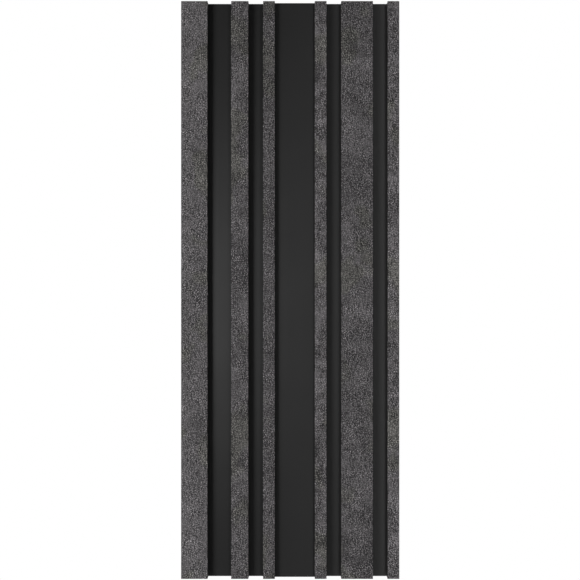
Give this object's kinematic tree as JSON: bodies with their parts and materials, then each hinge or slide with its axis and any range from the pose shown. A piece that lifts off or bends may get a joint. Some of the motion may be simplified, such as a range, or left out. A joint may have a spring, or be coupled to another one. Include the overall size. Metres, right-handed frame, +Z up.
{
  "type": "polymer wall panel",
  "caption": "Slatted polymer wall panel: black extruded section with raised slats of unequal width, each faced with dark grey stone-look film; glued flat to a wall as cladding.",
  "frame": {"origin": "middle of the back face, on the wall plane", "axes": "+X across the panel to the right seen from the front, +Y into the wall, +Z up along the slats"},
  "size_m": [0.119, 0.016, 0.315],
  "materials": {
    "black_polymer": "satin black extruded polymer, coloured through",
    "stone_film": "matt printed film, fine dark grey stone grain"
  },
  "bodies": {
    "root": {"panel_body": "black_polymer", "slat_film_1": "stone_film", "slat_film_2": "stone_film", "slat_film_3": "stone_film", "slat_film_4": "stone_film", "slat_film_5": "stone_film", "slat_film_6": "stone_film"}
  },
  "joints": []
}
